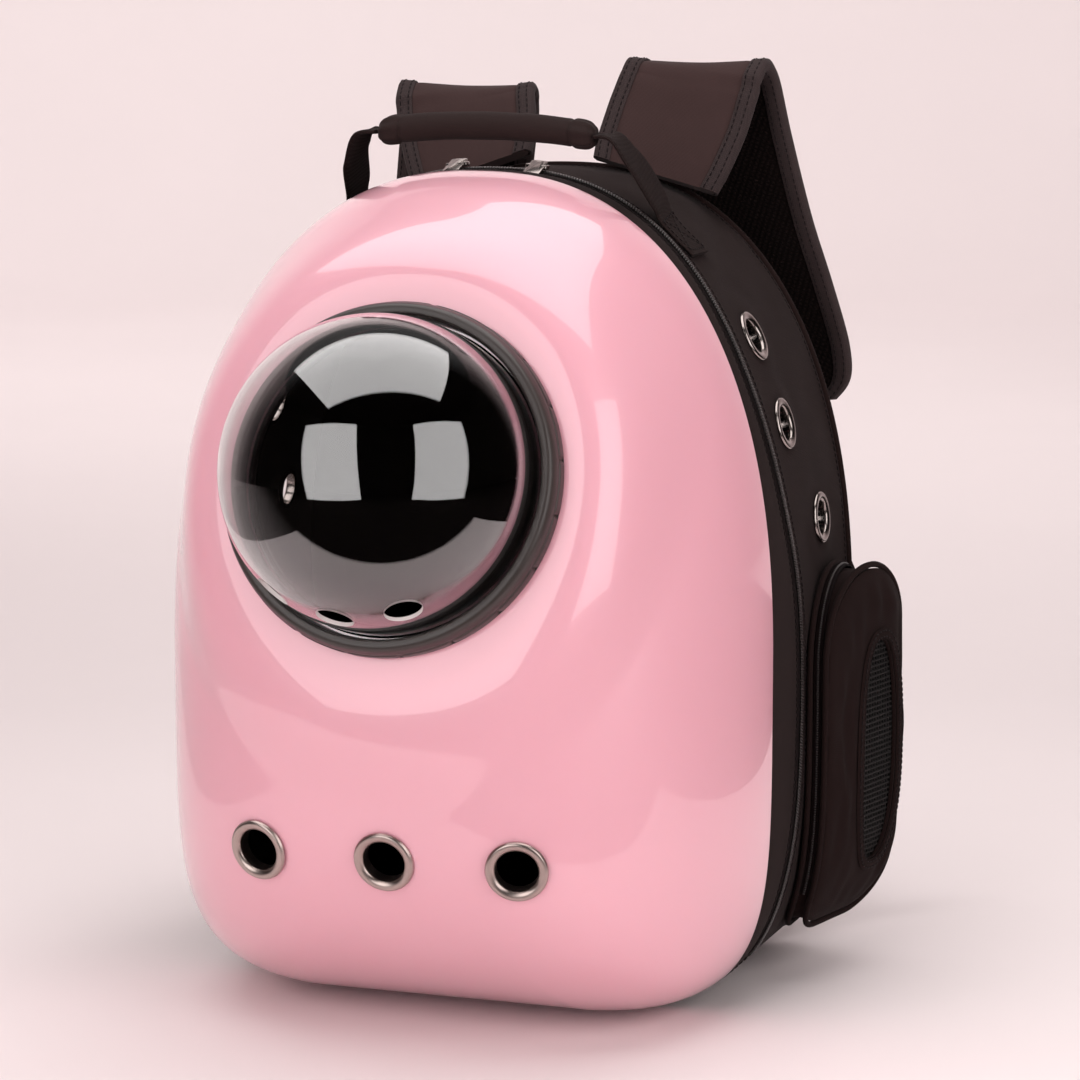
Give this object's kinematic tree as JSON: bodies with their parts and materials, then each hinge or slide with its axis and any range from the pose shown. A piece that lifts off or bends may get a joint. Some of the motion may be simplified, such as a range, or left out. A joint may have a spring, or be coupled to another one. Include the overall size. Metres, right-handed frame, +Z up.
{
  "type": "pet carrier backpack",
  "caption": "Hard-shell pet carrier backpack: glossy domed front door with a clear bubble window in a black ring, vent eyelets, a zipped cloth tub, side pockets, handle and straps.",
  "frame": {"origin": "middle of the depth of the cloth tub, on the flat base it stands on", "axes": "+Z up, -Y towards the clear dome, +Y towards the wearer, +X to the right seen from the front"},
  "size_m": [0.3906, 0.475, 0.4824],
  "materials": {
    "shell_plastic": "high gloss",
    "clear_acrylic": "clear",
    "ring_rubber": "satin",
    "gunmetal": "polished",
    "nickel": "polished",
    "neoprene": "smooth cloth",
    "nylon_cloth": "woven",
    "strap_cloth": "smooth woven",
    "webbing": "ribbed tape",
    "zip_nylon": "satin",
    "spacer_mesh": "open mesh",
    "acetal": "satin"
  },
  "bodies": {
    "root": {"shell": "shell_plastic", "dome": "clear_acrylic", "window_ring": "ring_rubber", "front_eyelet_left": "gunmetal", "front_eyelet_centre": "gunmetal", "front_eyelet_right": "gunmetal", "side_eyelet_left_1": "nickel", "side_eyelet_left_2": "nickel", "side_eyelet_left_3": "nickel", "side_eyelet_right_1": "nickel", "side_eyelet_right_2": "nickel", "side_eyelet_right_3": "nickel", "zip_slider_left": "nickel", "zip_slider_right": "nickel", "zip_pull_left": "nickel", "zip_pull_right": "nickel", "front_band": "neoprene", "gusset": "nylon_cloth", "hinge_strip": "nylon_cloth", "back_piping": "nylon_cloth", "side_pocket": "nylon_cloth", "side_pocket_piping_face": "nylon_cloth", "side_pocket_piping_base": "nylon_cloth", "strap_left": "strap_cloth", "strap_right": "strap_cloth", "handle_grip": "strap_cloth", "strap_left_binding_inner": "webbing", "strap_left_binding_outer": "webbing", "strap_right_binding_inner": "webbing", "strap_right_binding_outer": "webbing", "strap_webbing_left": "webbing", "strap_webbing_right": "webbing", "handle_webbing_left": "webbing", "handle_webbing_right": "webbing", "side_pocket_window_trim": "webbing", "net_pocket_hem": "webbing", "main_zipper": "zip_nylon", "side_pocket_zipper": "zip_nylon", "back_panel": "spacer_mesh", "side_pocket_mesh": "spacer_mesh", "net_pocket": "spacer_mesh", "strap_adjuster_left": "acetal", "strap_adjuster_right": "acetal"}
  },
  "joints": []
}
